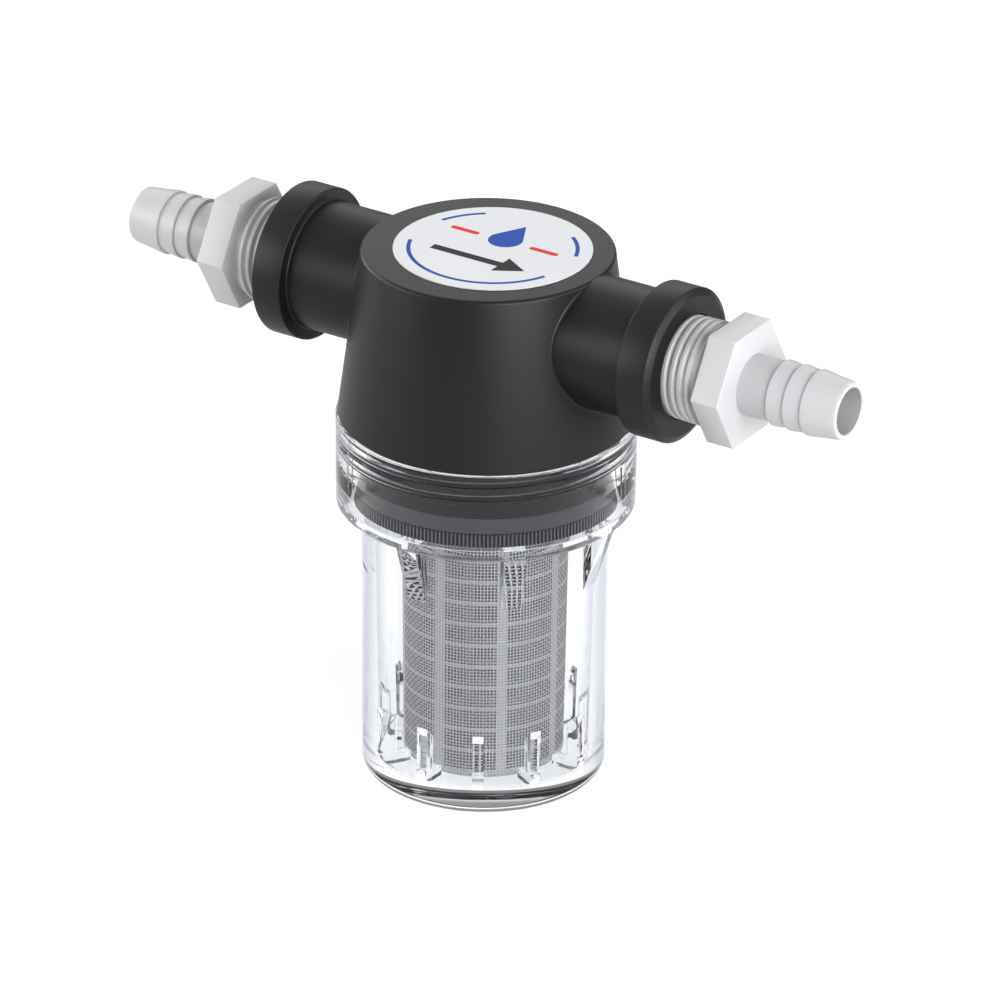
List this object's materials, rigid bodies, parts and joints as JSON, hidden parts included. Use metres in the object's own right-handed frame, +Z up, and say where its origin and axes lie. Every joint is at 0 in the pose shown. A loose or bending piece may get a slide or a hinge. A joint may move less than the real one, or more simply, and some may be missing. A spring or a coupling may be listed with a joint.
{
  "type": "fresh water strainer",
  "caption": "In-line fresh water strainer: black moulded head with two opposed white hose barbs, and a clear screw-on bowl that holds a metal mesh strainer.",
  "frame": {"origin": "centre of the bowl's flat base", "axes": "+Z up along the bowl's axis, +X along the ports towards the outlet, +Y completes a right-handed frame"},
  "size_m": [0.1672, 0.0606, 0.117],
  "materials": {
    "black_plastic": "satin moulded",
    "label_film": "smooth printed film",
    "white_plastic": "satin moulded",
    "seal_rubber": "smooth",
    "clear_plastic": "clear, glossy",
    "cage_plastic": "moulded",
    "steel_mesh": "woven wire"
  },
  "bodies": {
    "head_body": {"head": "black_plastic", "label": "label_film", "inlet_fitting": "white_plastic", "outlet_fitting": "white_plastic", "bowl_seal": "seal_rubber"},
    "strainer_body": {"strainer_cage": "cage_plastic", "strainer_mesh": "steel_mesh"},
    "bowl_body": {"bowl": "clear_plastic"}
  },
  "joints": [
    {"name": "bowl_drop", "type": "slide", "parent": "head_body", "child": "strainer_body", "axis": [0, 0, -1], "range_m": [0, 0.0091]},
    {"name": "bowl_thread", "type": "hinge", "parent": "strainer_body", "child": "bowl_body", "pos_m": [0, 0, 0.07], "axis": [0, 0, -1], "range_deg": [0, 1170]}
  ],
  "couplings": [
    {"joint": "bowl_drop", "follows": "bowl_thread", "m_per_rad": 0.00044563}
  ]
}
